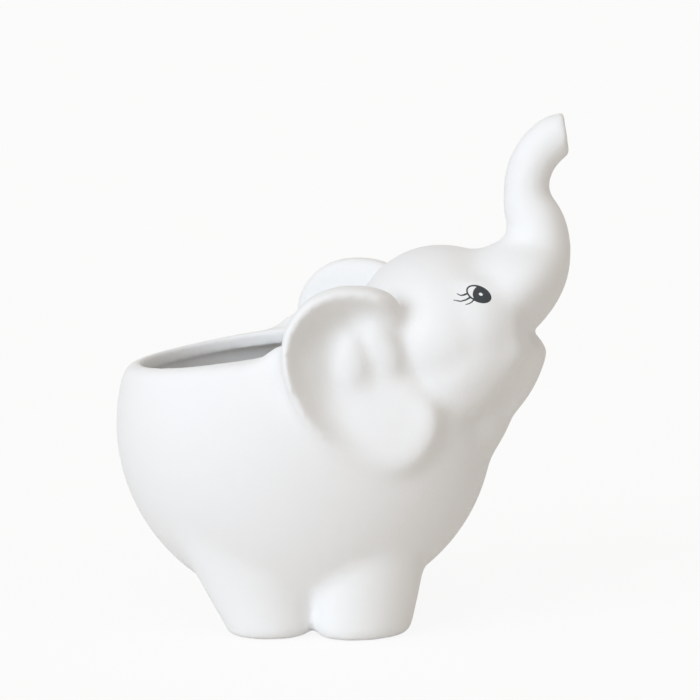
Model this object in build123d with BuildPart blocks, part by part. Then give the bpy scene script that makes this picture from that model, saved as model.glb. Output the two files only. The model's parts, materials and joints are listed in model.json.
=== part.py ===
from build123d import *
from math import cos, radians, sin, sqrt
import os

# A ceramic planter in the shape of a young elephant, in millimetres. +X is the way that it faces,
# +Y is its left and +Z is up. The origin is on the ground, under the middle of the whole object.

# Belly: an egg that is cut off by a tilted rim above and by a flat underside below
BELLY_LENGTH = 129.4
BELLY_HEIGHT = 128.0
BELLY_X = -12.8
BELLY_Z = 69.5
UNDERSIDE_Z = 7.0
WALL = 5.0
FLOOR = 6.0
RIM_RISE = 29.4
RIM_TILT = 8.0
RIM_ROUND = 3.2
MOUTH_LENGTH = 71.5
MOUTH_WIDTH = 68.0
MOUTH_LIP = 5.0
MOUTH_SIDE_LIP = 7.8
MOUTH_ROUND = 1.0
DRAIN_DIAMETER = 12.0
VENT_DIAMETER = 8.0

# Head: a hollow skull with the cheeks in front, set back from the front of the belly
SKULL_LENGTH = 60.0
SKULL_WIDTH = 80.0
SKULL_HEIGHT = 57.2
SKULL_SET_BACK = 18.2
SKULL_RISE = 32.9
CHEEK_LENGTH = 34.0
CHEEK_WIDTH = 64.0
CHEEK_HEIGHT = 34.0
CHEEK_SET_BACK = 15.5
CHEEK_DROP = 7.0

# Trunk: two bends of opposite hand that make an S, thick at the root
TRUNK_ROOT_DIAMETER = 31.0
TRUNK_NARROW_DIAMETER = 14.8
TRUNK_TIP_DIAMETER = 12.0
TRUNK_TAPER_LENGTH = 39.0
TRUNK_LEAN = 30.6
TRUNK_SET_IN = 4.0
TRUNK_ROOT_DEPTH = 12.0
TRUNK_LOW_BEND = 20.7
TRUNK_LOW_TURN = 85.0
TRUNK_HIGH_BEND = 20.4
TRUNK_HIGH_TURN = 92.0
TRUNK_STATIONS = 18
TIP_ROUND = 1.8
NOSTRIL_DIAMETER = 7.0
NOSTRIL_DEPTH = 1.2

# Lower jaw: a leaning egg for the chin, and an upright one for the throat below it
JAW_LENGTH = 34.0
JAW_WIDTH = 31.0
JAW_THICKNESS = 22.0
JAW_LEAN = 60.0
JAW_FORWARD = 7.5
JAW_DROP = 7.5
THROAT_LENGTH = 26.0
THROAT_WIDTH = 40.0
THROAT_HEIGHT = 36.0
THROAT_SET_BACK = 6.2
THROAT_RISE = 6.5

# Ears: a leaning disc with a deep dish towards the back of its outer face, a full lobe below, a root
# that reaches the head, and a cut in front that leaves the side of the head free
EAR_LENGTH = 69.0
EAR_WIDTH = 51.0
EAR_THICKNESS = 11.0
EAR_ROUND = 4.5
EAR_SET_BACK = 23.5
EAR_DROP = 11.5
EAR_STANDS_OFF = 1.0
EAR_LEAN = 48.6
EAR_FLARE = 12.0
EAR_TILT = 5.0
EAR_DISH_LENGTH = 43.0
EAR_DISH_WIDTH = 40.0
EAR_DISH_DEPTH = 9.0
EAR_DISH_BACK = 8.0
EAR_DISH_UP = 1.5
EAR_FLOOR = 2.0
EAR_ROOT_LENGTH = 24.0
EAR_ROOT_HEIGHT = 28.0
EAR_ROOT_WIDTH = 18.0
EAR_ROOT_RISE = 7.0
EAR_CUT_LENGTH = 28.0
EAR_CUT_HEIGHT = 36.0

# Feet: four short legs, a pair on each side
FRONT_FOOT_LENGTH = 34.0
REAR_FOOT_LENGTH = 29.0
FOOT_WIDTH = 24.0
FOOT_GAP = 0.6
FOOT_SPREAD = 38.0
FOOT_ROUND = 3.0
FEET_AHEAD = 2.9
LEG_TOP_Z = 38.0
FRONT_LEG_FLARE = 7.0
REAR_LEG_FLARE = 19.0
LEG_SPLAY = 4.0

# Eyes: a thin printed film with an outline, an iris and three lashes
EYE_LENGTH = 8.8
EYE_HEIGHT = 5.3
EYE_LEAN = -25.0
EYE_LINE = 0.5
EYE_FORWARD = 12.0
EYE_RISE = 15.2
IRIS_DIAMETER = 5.8
IRIS_FORWARD = 0.9
GLINT_LENGTH = 1.4
GLINT_HEIGHT = 1.0
LASH_THICKNESS = 0.55
LASHES = [
    ((-3.7, 0.3), (-5.9, -0.45), (-7.2, 0.15)),
    ((-2.9, -0.9), (-5.4, -2.25), (-8.3, -2.0)),
    ((-1.7, -1.7), (-2.7, -2.9), (-4.4, -3.55)),
]
FILM = 0.2

# Stopper: a soft plug in the drain hole, pulled out from below
PLUG_CLEARANCE = 0.05
PLUG_STANDS_PROUD = 1.5
PLUG_CHAMFER = 0.8
FLANGE_DIAMETER = 18.0
FLANGE_THICKNESS = 2.0
GRIP_LENGTH = 9.0
GRIP_WIDTH = 2.6
GRIP_HEIGHT = 2.4

os.makedirs("parts", exist_ok=True)


def egg(length, width, height, plane):
    """A closed egg form whose three axes lie along the axes of the plane."""
    with BuildPart() as form:
        Sphere(length / 2)
        scale(by=(1, width / length, height / length))
    return plane * form.part


def finish(piece, name):
    """Label a finished piece and write it to its own file."""
    piece.part.label = name
    export_step(piece.part, f"parts/{name}.step")


# Places that several pieces share
skull_x = BELLY_X + BELLY_LENGTH / 2 - SKULL_SET_BACK
skull_z = BELLY_Z + SKULL_RISE
cheek_x = skull_x + SKULL_LENGTH / 2 - CHEEK_SET_BACK
cheek_z = skull_z - CHEEK_DROP
floor_z = UNDERSIDE_Z + FLOOR
rim_plane = Plane(
    origin=(BELLY_X, 0, BELLY_Z + RIM_RISE),
    x_dir=(cos(radians(RIM_TILT)), 0, sin(radians(RIM_TILT))),
    z_dir=(-sin(radians(RIM_TILT)), 0, cos(radians(RIM_TILT))),
)


def belly_share(x, z):
    """The belly's width at a place in its side view, as a share of its greatest width."""
    along = (x - BELLY_X) / (BELLY_LENGTH / 2)
    above = (z - BELLY_Z) / (BELLY_HEIGHT / 2)
    return sqrt(1 - along**2 - above**2)


def skull_side(x, z):
    """Half the skull's width at a place in its side view."""
    along = (x - skull_x) / (SKULL_LENGTH / 2)
    above = (z - skull_z) / (SKULL_HEIGHT / 2)
    return SKULL_WIDTH / 2 * sqrt(1 - along**2 - above**2)


def rim_rear():
    """Where the rim plane leaves the back of the belly, along the rim plane from its origin."""
    half_length = BELLY_LENGTH / 2
    half_height = BELLY_HEIGHT / 2
    slope = sin(radians(RIM_TILT)) / cos(radians(RIM_TILT))
    square = 1 / half_length**2 + slope**2 / half_height**2
    linear = 2 * RIM_RISE * slope / half_height**2
    constant = RIM_RISE**2 / half_height**2 - 1
    x = (-linear - sqrt(linear**2 - 4 * square * constant)) / (2 * square)
    return x / cos(radians(RIM_TILT))


# The belly is wide enough for the mouth and a lip on each side of it
mouth_middle = rim_rear() + MOUTH_LIP + MOUTH_LENGTH / 2
mouth_point = rim_plane.origin + rim_plane.x_dir * mouth_middle
belly_width = (MOUTH_WIDTH + 2 * MOUTH_SIDE_LIP) / belly_share(mouth_point.X, mouth_point.Z)


# Outer form of the belly, without its cavity, which also trims every piece that sits on it
with BuildPart() as belly:
    add(egg(BELLY_LENGTH, belly_width, BELLY_HEIGHT, Plane((BELLY_X, 0, BELLY_Z))))
    split(bisect_by=rim_plane, keep=Keep.BOTTOM)
    split(bisect_by=Plane.XY.offset(UNDERSIDE_Z), keep=Keep.TOP)
    fillet(belly.faces().sort_by(Axis.Z)[-1].edges(), RIM_ROUND)

# Hollow of the pot, closed above by the ceramic round the mouth
with BuildPart() as cavity:
    add(
        egg(
            BELLY_LENGTH - 2 * WALL,
            belly_width - 2 * WALL,
            BELLY_HEIGHT - 2 * WALL,
            Plane((BELLY_X, 0, BELLY_Z)),
        )
    )
    split(bisect_by=rim_plane.offset(-WALL), keep=Keep.BOTTOM)
    split(bisect_by=Plane.XY.offset(floor_z), keep=Keep.TOP)

vent_middle = (skull_x - BELLY_X) / cos(radians(RIM_TILT))
with BuildPart() as pot_body:
    add(belly.part)
    add(cavity.part, mode=Mode.SUBTRACT)
    with BuildSketch(rim_plane):
        with Locations((mouth_middle, 0)):
            Ellipse(MOUTH_LENGTH / 2, MOUTH_WIDTH / 2)
    extrude(amount=-2 * WALL, mode=Mode.SUBTRACT)
    top = pot_body.faces().filter_by(lambda face: face.normal_at().Z > 0.9).sort_by(Axis.Z)[-1]
    fillet(top.inner_wires().edges(), MOUTH_ROUND)
    with Locations(Plane((BELLY_X, 0, floor_z))):
        Hole(DRAIN_DIAMETER / 2)
    with BuildSketch(rim_plane):
        with Locations((vent_middle, 0)):
            Circle(VENT_DIAMETER / 2)
    extrude(amount=-2 * WALL, mode=Mode.SUBTRACT)
finish(pot_body, "pot_body")

# Outer form of the head, which trims the trunk, the jaw and the ears
with BuildPart() as head_form:
    add(egg(SKULL_LENGTH, SKULL_WIDTH, SKULL_HEIGHT, Plane((skull_x, 0, skull_z))))
    add(egg(CHEEK_LENGTH, CHEEK_WIDTH, CHEEK_HEIGHT, Plane((cheek_x, 0, cheek_z))))

with BuildPart() as head:
    add(head_form.part)
    add(
        egg(
            SKULL_LENGTH - 2 * WALL,
            SKULL_WIDTH - 2 * WALL,
            SKULL_HEIGHT - 2 * WALL,
            Plane((skull_x, 0, skull_z)),
        ),
        mode=Mode.SUBTRACT,
    )
    add(belly.part, mode=Mode.SUBTRACT)
finish(head, "head")

# The trunk's centre line starts inside the skull and leaves it along the lean
lean_x = cos(radians(TRUNK_LEAN))
lean_z = sin(radians(TRUNK_LEAN))
trunk_x = skull_x + (SKULL_LENGTH / 2 - TRUNK_SET_IN) * lean_x
trunk_z = skull_z + (SKULL_HEIGHT / 2 - TRUNK_SET_IN) * lean_z
with BuildLine(Plane.XZ) as trunk_line:
    root = Line(
        (trunk_x - TRUNK_ROOT_DEPTH * lean_x, trunk_z - TRUNK_ROOT_DEPTH * lean_z),
        (trunk_x, trunk_z),
    )
    low_bend = JernArc(root @ 1, root % 1, TRUNK_LOW_BEND, TRUNK_LOW_TURN)
    high_bend = JernArc(low_bend @ 1, low_bend % 1, TRUNK_HIGH_BEND, -TRUNK_HIGH_TURN)

trunk_path = trunk_line.wires()[0]
with BuildPart() as trunk:
    for station in range(TRUNK_STATIONS):
        share = station / (TRUNK_STATIONS - 1)
        beyond_root = share * trunk_path.length - TRUNK_ROOT_DEPTH
        taper = min(1, max(0, 1 - beyond_root / TRUNK_TAPER_LENGTH))
        diameter = TRUNK_NARROW_DIAMETER + (TRUNK_ROOT_DIAMETER - TRUNK_NARROW_DIAMETER) * taper
        if share == 1:
            diameter = TRUNK_TIP_DIAMETER
        section = Plane(trunk_path @ share, x_dir=(0, 1, 0), z_dir=trunk_path % share)
        with BuildSketch(section):
            Circle(diameter / 2)
    loft()
    tip = trunk.faces().filter_by(GeomType.PLANE).sort_by(Axis.Z)[-1]
    fillet(tip.edges(), TIP_ROUND)
    nostril_radius = (NOSTRIL_DIAMETER**2 / 4 + NOSTRIL_DEPTH**2) / (2 * NOSTRIL_DEPTH)
    nostril = trunk_path @ 1 + (trunk_path % 1) * (nostril_radius - NOSTRIL_DEPTH)
    with Locations(nostril):
        Sphere(nostril_radius, mode=Mode.SUBTRACT)
    add(head_form.part, mode=Mode.SUBTRACT)
finish(trunk, "trunk")

jaw_plane = Plane(
    origin=(cheek_x + JAW_FORWARD, 0, cheek_z - JAW_DROP),
    x_dir=(cos(radians(JAW_LEAN)), 0, sin(radians(JAW_LEAN))),
    z_dir=(-sin(radians(JAW_LEAN)), 0, cos(radians(JAW_LEAN))),
)
throat_x = BELLY_X + BELLY_LENGTH / 2 - THROAT_SET_BACK
throat_plane = Plane((throat_x, 0, BELLY_Z + THROAT_RISE))
with BuildPart() as lower_jaw:
    add(egg(JAW_LENGTH, JAW_WIDTH, JAW_THICKNESS, jaw_plane))
    add(egg(THROAT_LENGTH, THROAT_WIDTH, THROAT_HEIGHT, throat_plane))
    add(head_form.part, mode=Mode.SUBTRACT)
    add(belly.part, mode=Mode.SUBTRACT)
    add(trunk.part, mode=Mode.SUBTRACT)
finish(lower_jaw, "lower_jaw")

# The right ear lies on the side of the belly, turned with its flare and its tilt
ear_x = skull_x - EAR_SET_BACK
ear_z = skull_z - EAR_DROP
ear_y = -(belly_width / 2 * belly_share(ear_x, ear_z) + EAR_STANDS_OFF)
ear_out = Vector(
    sin(radians(EAR_FLARE)) * cos(radians(EAR_TILT)),
    -cos(radians(EAR_FLARE)) * cos(radians(EAR_TILT)),
    sin(radians(EAR_TILT)),
)
ear_front = Vector(cos(radians(EAR_FLARE)), sin(radians(EAR_FLARE)), 0)
ear_long = ear_front * cos(radians(EAR_LEAN)) - ear_out.cross(ear_front) * sin(radians(EAR_LEAN))
ear_plane = Plane((ear_x, ear_y, ear_z), x_dir=ear_long, z_dir=ear_out)
dish_middle = ear_plane.from_local_coords((-EAR_DISH_BACK, EAR_DISH_UP, EAR_THICKNESS / 2))
dish_plane = Plane(dish_middle, x_dir=ear_long, z_dir=ear_out)
root_x = ear_x + EAR_ROOT_LENGTH / 3
root_y = -(skull_side(root_x, skull_z) + EAR_ROOT_RISE - EAR_ROOT_WIDTH / 2)
root_plane = Plane((root_x, root_y, skull_z))

# The dish stops short of the belly, so that a floor is left
with BuildPart() as dish:
    add(egg(EAR_DISH_LENGTH, EAR_DISH_WIDTH, 2 * EAR_DISH_DEPTH, dish_plane))
    add(
        egg(
            BELLY_LENGTH + 2 * EAR_FLOOR,
            belly_width + 2 * EAR_FLOOR,
            BELLY_HEIGHT + 2 * EAR_FLOOR,
            Plane((BELLY_X, 0, BELLY_Z)),
        ),
        mode=Mode.SUBTRACT,
    )

with BuildPart() as right_ear:
    with BuildSketch(ear_plane.offset(-EAR_THICKNESS / 2)):
        Ellipse(EAR_LENGTH / 2, EAR_WIDTH / 2)
    extrude(amount=EAR_THICKNESS)
    fillet(right_ear.edges().filter_by(GeomType.ELLIPSE), EAR_ROUND)
    add(dish.part, mode=Mode.SUBTRACT)
    add(egg(EAR_ROOT_LENGTH, EAR_ROOT_WIDTH, EAR_ROOT_HEIGHT, root_plane))
    with BuildSketch(Plane.XZ):
        with Locations((skull_x, skull_z)):
            Ellipse(EAR_CUT_LENGTH / 2, EAR_CUT_HEIGHT / 2)
    extrude(amount=belly_width, both=True, mode=Mode.SUBTRACT)
    add(belly.part, mode=Mode.SUBTRACT)
    add(head_form.part, mode=Mode.SUBTRACT)
finish(right_ear, "right_ear")

with BuildPart() as left_ear:
    mirror(right_ear.part, about=Plane.XZ)
finish(left_ear, "left_ear")


def make_foot(length, flare, along, side, name):
    """One foot, flat on the ground, whose leg widens away from its neighbours up to the belly.

    Along is 1 for the front and -1 for the rear, and side is 1 for the left and -1 for the right.
    """
    foot_x = BELLY_X + FEET_AHEAD + along * (length + FOOT_GAP) / 2
    foot_y = side * FOOT_SPREAD / 2
    leg_x = foot_x + along * flare / 2
    leg_y = foot_y + side * LEG_SPLAY / 2
    sections = [
        (0, foot_x, foot_y, length - FOOT_ROUND, FOOT_WIDTH - FOOT_ROUND),
        (FOOT_ROUND, foot_x, foot_y, length, FOOT_WIDTH),
        (LEG_TOP_Z, leg_x, leg_y, length + flare, FOOT_WIDTH + LEG_SPLAY),
    ]
    with BuildPart() as foot:
        for height, x, y, long, wide in sections:
            with BuildSketch(Plane.XY.offset(height)):
                with Locations((x, y)):
                    Ellipse(long / 2, wide / 2)
        loft(ruled=True)
        add(belly.part, mode=Mode.SUBTRACT)
    finish(foot, name)
    return foot


front_right_foot = make_foot(FRONT_FOOT_LENGTH, FRONT_LEG_FLARE, 1, -1, "front_right_foot")
front_left_foot = make_foot(FRONT_FOOT_LENGTH, FRONT_LEG_FLARE, 1, 1, "front_left_foot")
rear_right_foot = make_foot(REAR_FOOT_LENGTH, REAR_LEG_FLARE, -1, -1, "rear_right_foot")
rear_left_foot = make_foot(REAR_FOOT_LENGTH, REAR_LEG_FLARE, -1, 1, "rear_left_foot")

# The printed eye is drawn in the side view and laid on the skull as a thin film
with BuildPart() as film:
    add(
        egg(
            SKULL_LENGTH + 2 * FILM,
            SKULL_WIDTH + 2 * FILM,
            SKULL_HEIGHT + 2 * FILM,
            Plane((skull_x, 0, skull_z)),
        )
    )
    add(head_form.part, mode=Mode.SUBTRACT)

eye_plane = Plane((skull_x + EYE_FORWARD, 0, skull_z + EYE_RISE), x_dir=(1, 0, 0), z_dir=(0, -1, 0))
with BuildSketch(eye_plane) as eye_lines:
    Ellipse(EYE_LENGTH / 2, EYE_HEIGHT / 2, rotation=EYE_LEAN)
    Ellipse(
        EYE_LENGTH / 2 - EYE_LINE,
        EYE_HEIGHT / 2 - EYE_LINE,
        rotation=EYE_LEAN,
        mode=Mode.SUBTRACT,
    )
    for start, middle, end in LASHES:
        lower_start = (start[0], start[1] - LASH_THICKNESS)
        lower_middle = (middle[0], middle[1] - LASH_THICKNESS)
        with BuildLine():
            ThreePointArc(start, middle, end)
            ThreePointArc(end, lower_middle, lower_start)
            Line(lower_start, start)
        make_face()
with BuildSketch(eye_plane) as eye_print:
    with Locations((IRIS_FORWARD, 0)):
        Circle(IRIS_DIAMETER / 2)
    Ellipse(EYE_LENGTH / 2, EYE_HEIGHT / 2, rotation=EYE_LEAN, mode=Mode.INTERSECT)
    add(eye_lines.sketch_local)
    with Locations((IRIS_FORWARD, 0)):
        Ellipse(GLINT_LENGTH / 2, GLINT_HEIGHT / 2, rotation=EYE_LEAN, mode=Mode.SUBTRACT)

with BuildPart() as right_eye:
    extrude(eye_print.sketch, amount=SKULL_WIDTH, dir=eye_plane.z_dir)
    add(film.part, mode=Mode.INTERSECT)
finish(right_eye, "right_eye")

with BuildPart() as left_eye:
    mirror(right_eye.part, about=Plane.XZ)
finish(left_eye, "left_eye")

# The stopper's flange seats on the underside, and its grip hangs clear of the ground
stem_radius = DRAIN_DIAMETER / 2 - PLUG_CLEARANCE
with BuildPart() as drain_plug:
    with BuildSketch(Plane((BELLY_X, 0, UNDERSIDE_Z))):
        Circle(stem_radius)
    extrude(amount=FLOOR + PLUG_STANDS_PROUD)
    chamfer(drain_plug.edges().group_by(Axis.Z)[-1], PLUG_CHAMFER)
    with BuildSketch(Plane((BELLY_X, 0, UNDERSIDE_Z))):
        Circle(FLANGE_DIAMETER / 2)
    extrude(amount=-FLANGE_THICKNESS)
    with BuildSketch(Plane((BELLY_X, 0, UNDERSIDE_Z - FLANGE_THICKNESS))):
        SlotOverall(GRIP_LENGTH, GRIP_WIDTH)
    extrude(amount=-GRIP_HEIGHT)
finish(drain_plug, "drain_plug")
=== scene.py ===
# %% [markdown]
# # A ceramic elephant planter
# The real object is a small plant pot, cast in white clay from several moulds, joined with wet clay
# and fired once without a glaze. This lesson dresses its CAD model in Blender. The CAD model comes
# first, as a fixed frame: every piece below goes where a CAD node already is, in metres.

# %% Load the frame
import json
import math
import bmesh
import bpy
from mathutils import Matrix, Vector
from mathutils.bvhtree import BVHTree

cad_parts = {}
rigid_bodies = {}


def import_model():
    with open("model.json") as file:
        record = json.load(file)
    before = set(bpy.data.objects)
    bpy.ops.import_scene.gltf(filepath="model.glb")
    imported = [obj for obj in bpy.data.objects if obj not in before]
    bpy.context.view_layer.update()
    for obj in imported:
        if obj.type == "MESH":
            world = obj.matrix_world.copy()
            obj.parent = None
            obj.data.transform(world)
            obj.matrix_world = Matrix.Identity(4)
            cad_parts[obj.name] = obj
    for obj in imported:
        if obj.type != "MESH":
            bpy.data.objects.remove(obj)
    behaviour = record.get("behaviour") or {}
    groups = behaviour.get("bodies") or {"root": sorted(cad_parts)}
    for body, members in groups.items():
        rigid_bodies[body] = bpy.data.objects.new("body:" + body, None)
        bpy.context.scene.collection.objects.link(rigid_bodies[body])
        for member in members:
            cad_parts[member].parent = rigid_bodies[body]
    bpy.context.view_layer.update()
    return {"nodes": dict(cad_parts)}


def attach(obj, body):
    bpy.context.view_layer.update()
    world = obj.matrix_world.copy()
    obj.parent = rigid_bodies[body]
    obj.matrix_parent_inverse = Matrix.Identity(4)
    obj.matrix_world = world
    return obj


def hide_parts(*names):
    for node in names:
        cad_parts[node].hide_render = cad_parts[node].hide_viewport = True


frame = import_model()
MM = 0.001

# %% [markdown]
# ## Working as by hand
# A fired pot has no hard lines between its castings: the joins are wiped smooth with a sponge.
# Solid modelling makes hard joins, so here each casting is roughed out as a simple blank, the
# blanks are joined, and the whole is remeshed and smoothed where two blanks meet, as a sculptor
# would do it. Operators act on all that is selected, so every step starts with nothing selected.


# %% Selecting
def start_clean():
    """Leave edit mode and deselect everything."""
    if bpy.context.mode != "OBJECT":
        bpy.ops.object.mode_set(mode="OBJECT")
    bpy.ops.object.select_all(action="DESELECT")


def take(piece):
    """Make one piece the only selected and active one."""
    start_clean()
    piece.select_set(True)
    bpy.context.view_layer.objects.active = piece


def open_mesh(piece):
    """Open one piece in edit mode, with all of it selected."""
    take(piece)
    bpy.ops.object.mode_set(mode="EDIT")
    bpy.ops.mesh.select_mode(type="VERT")
    bpy.ops.mesh.select_all(action="SELECT")


print("selecting ready")


# %% Modifiers and eggs
def apply_modifier(piece, kind, **settings):
    """Add one modifier with its settings and apply it at once."""
    take(piece)
    modifier = piece.modifiers.new(kind.lower(), kind)
    for name, value in settings.items():
        setattr(modifier, name, value)
    bpy.ops.object.modifier_apply(modifier=modifier.name)


def egg_blank(name, centre, size, lean=0.0, segments=64, boxy=0.0):
    """A rounded blank in millimetres: a sphere, boxed a little, stretched, leaned and moved."""
    start_clean()
    bpy.ops.mesh.primitive_uv_sphere_add(
        segments=segments, ring_count=segments // 2, radius=0.5 * MM
    )
    blank = bpy.context.object
    blank.name = name
    if boxy:
        apply_modifier(blank, "CAST", cast_type="CUBOID", factor=boxy)
    open_mesh(blank)
    bpy.ops.transform.resize(value=size)
    if lean:
        bpy.ops.transform.rotate(
            value=math.radians(lean), orient_axis="Y", center_override=(0, 0, 0)
        )
    bpy.ops.transform.translate(value=[along * MM for along in centre])
    bpy.ops.object.mode_set(mode="OBJECT")
    return blank


print("eggs ready")

# %% [markdown]
# ## The belly
# The belly is the pot. Its outside is an egg, cut level underneath and cut by a tilted plane above.
# Spinning a profile would give a round bowl, but this one is longer than it is wide, so a stretched
# sphere is cut with bisect. The shoulder round the rim is rounded later, with the joins.

# %% Belly blank
BELLY_SIZE = (129.4, 98.2, 128.0)
BELLY_CENTRE = (-12.8, 0.0, 69.5)
UNDERSIDE_Z = 7.0
RIM_RISE = 29.4
RIM_TILT = math.radians(8.0)
rim_point = Vector((BELLY_CENTRE[0], 0, BELLY_CENTRE[2] + RIM_RISE)) * MM
rim_up = Vector((-math.sin(RIM_TILT), 0, math.cos(RIM_TILT)))


def trim(point, direction):
    """Cut off what of an open mesh lies beyond a plane, and close the cut."""
    bpy.ops.mesh.select_all(action="SELECT")
    bpy.ops.mesh.bisect(plane_co=point, plane_no=direction, use_fill=True, clear_outer=True)


def belly_blank(name, margin):
    """The belly's outer form, grown all round by a margin."""
    size = [length + 2 * margin for length in BELLY_SIZE]
    blank = egg_blank(name, BELLY_CENTRE, size, segments=96)
    open_mesh(blank)
    trim((0, 0, (UNDERSIDE_Z - margin) * MM), (0, 0, -1))
    trim(rim_point + rim_up * margin * MM, rim_up)
    bpy.ops.object.mode_set(mode="OBJECT")
    return blank


belly = belly_blank("belly", 0)
print("belly", len(belly.data.vertices), "vertices")

# %% [markdown]
# ## The head, the cheeks and the jaw
# The skull is close to a ball. The face in front of it is boxier, so its sphere is pushed a little
# towards a box with the Cast modifier. The cheeks swell below, and the brow leads over to the
# trunk. The chin leans out below the mouth and the throat runs down from it into the chest. Each is
# a stretched sphere of its own. Those of the head are melted into one blank, and so are the chin
# and throat: joined, remeshed and smoothed.

# %% Melting blanks together
VOXEL = 1.0
SMOOTHING = 0.5


def joined(pieces, name):
    """Several pieces as one, under one name."""
    start_clean()
    for piece in pieces:
        piece.select_set(True)
    bpy.context.view_layer.objects.active = pieces[0]
    bpy.ops.object.join()
    pieces[0].name = name
    return pieces[0]


def melted(blanks, name, rounds):
    """Several blanks as one, with the creases between them smoothed out."""
    blank = joined(blanks, name)
    apply_modifier(blank, "REMESH", mode="VOXEL", voxel_size=VOXEL * MM)
    apply_modifier(blank, "SMOOTH", factor=SMOOTHING, iterations=rounds)
    return blank


print("blanks melt at", VOXEL, "mm")

# %% Head and jaw blanks
# Each row is a name, a centre, a size, a lean in degrees and a share of a box
HEAD_EGGS = [
    ("skull", (33.7, 0.0, 102.4), (60.0, 80.0, 57.2), 0, 0),
    ("face", (43.0, 0, 105.0), (41, 76, 44), 0, 0.25),
    ("cheeks", (39.0, 0, 93.2), (52, 77, 35), 45, 0.4),
    ("brow", (54.0, 0, 116.0), (52, 60, 30), 32, 0),
]
JAW_EGGS = [
    ("chin", (54.8, 0, 87.4), (35, 33, 23), 60, 0.35),
    ("throat", (44.0, 0, 75.2), (58, 42, 28.6), 68, 0),
]
HEAD_ROUNDS = 35
JAW_ROUNDS = 12


def melted_eggs(rows, name, rounds):
    """One blank of several eggs."""
    eggs = [
        egg_blank(egg, centre, size, lean=lean, boxy=boxy) for egg, centre, size, lean, boxy in rows
    ]
    return melted(eggs, name, rounds)


head_blank = melted_eggs(HEAD_EGGS, "head_blank", HEAD_ROUNDS)
jaw_blank = melted_eggs(JAW_EGGS, "jaw_blank", JAW_ROUNDS)
print("head", len(head_blank.data.polygons), "jaw", len(jaw_blank.data.polygons), "faces")

# %% [markdown]
# ## The trunk
# The raised trunk is an S of two bends, thick at the root. A curve with a bevel could give it, but
# its section changes, so a ring is extruded step by step: each step goes a little further round its
# bend, is turned and made a little smaller, from a wide oval at the root to a round tip. With no
# window open, the rotate operator turns the other way from its sign, so the angles below are
# written that way round.

# %% Trunk root
TRUNK_LEAN = math.radians(30.6)
TRUNK_START = Vector((56.1, 0, 114.9))
TRUNK_DEPTH = 14.0
ROOT_RADIUS = 15.8
ROOT_WIDE = 1.3
OVAL_CORNERS = 48


def add_disc(corners, radius):
    """A filled circle, open in edit mode."""
    start_clean()
    bpy.ops.mesh.primitive_circle_add(
        vertices=corners, radius=radius * MM, fill_type="NGON", enter_editmode=True
    )
    return bpy.context.object


def pull_out(step):
    """Extrude what is selected by a step in metres."""
    bpy.ops.mesh.extrude_region_move(TRANSFORM_OT_translate={"value": step})


def heading(angle):
    """The way that a turned ring looks, in the side view."""
    return Vector((math.cos(angle), 0, math.sin(angle)))


trunk_blank = add_disc(OVAL_CORNERS, ROOT_RADIUS)
bpy.ops.transform.rotate(
    value=TRUNK_LEAN - math.pi / 2, orient_axis="Y", center_override=(0, 0, 0)
)
bpy.ops.transform.resize(value=(1, ROOT_WIDE, 1))
root_step = heading(TRUNK_LEAN) * TRUNK_DEPTH
bpy.ops.transform.translate(value=(TRUNK_START - root_step) * MM)
pull_out(root_step * MM)
print("trunk starts at", list(TRUNK_START), "mm")

# %% Trunk bends
LOW_BEND = (20.7, math.radians(85))
HIGH_BEND = (20.4, math.radians(92))
TRUNK_STEPS = 14
NARROW_RADIUS = 7.7
TAPER_LENGTH = 39.0


def trunk_radius(beyond_root):
    """The trunk's radius at a distance from where it leaves the head."""
    share = min(1, max(0, beyond_root / TAPER_LENGTH))
    return ROOT_RADIUS + (NARROW_RADIUS - ROOT_RADIUS) * share


ring_centre, ring_radius = TRUNK_START.copy(), ROOT_RADIUS
angle, walked = TRUNK_LEAN, 0.0
# Over both bends, the steps take the root's extra width away
slim = ROOT_WIDE ** (-1 / (2 * TRUNK_STEPS))
for bend_radius, bend_turn, hand in ((*LOW_BEND, 1), (*HIGH_BEND, -1)):
    for _ in range(TRUNK_STEPS):
        turn = hand * bend_turn / TRUNK_STEPS
        side = hand * math.pi / 2
        bend_centre = ring_centre + heading(angle + side) * bend_radius
        next_centre = bend_centre - heading(angle + turn + side) * bend_radius
        pull_out((next_centre - ring_centre) * MM)
        bpy.ops.transform.rotate(
            value=turn, orient_axis="Y", center_override=next_centre * MM
        )
        walked += bend_radius * abs(turn)
        radius = trunk_radius(walked)
        grow = radius / ring_radius
        bpy.ops.transform.resize(
            value=(grow, grow * slim, grow), center_override=next_centre * MM
        )
        ring_centre, ring_radius, angle = next_centre, radius, angle + turn
print("trunk is", round(walked, 1), "mm long round its bends")

# %% [markdown]
# The tip is cut more upright than the trunk leans, and a shallow dish in it stands for the
# nostrils: the last face is turned, inset and moved in. Melting the trunk on its own rounds the
# edge of the tip.

# %% Trunk tip
TIP_RADIUS = 7.2
TIP_TURN = math.radians(17)
NOSTRIL_EDGE = 2.6
NOSTRIL_DEPTH = 1.4
TRUNK_ROUNDS = 16


def face_outwards():
    """Turn all faces of an open mesh outwards and leave edit mode."""
    bpy.ops.mesh.select_all(action="SELECT")
    bpy.ops.mesh.normals_make_consistent(inside=False)
    bpy.ops.object.mode_set(mode="OBJECT")


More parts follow.
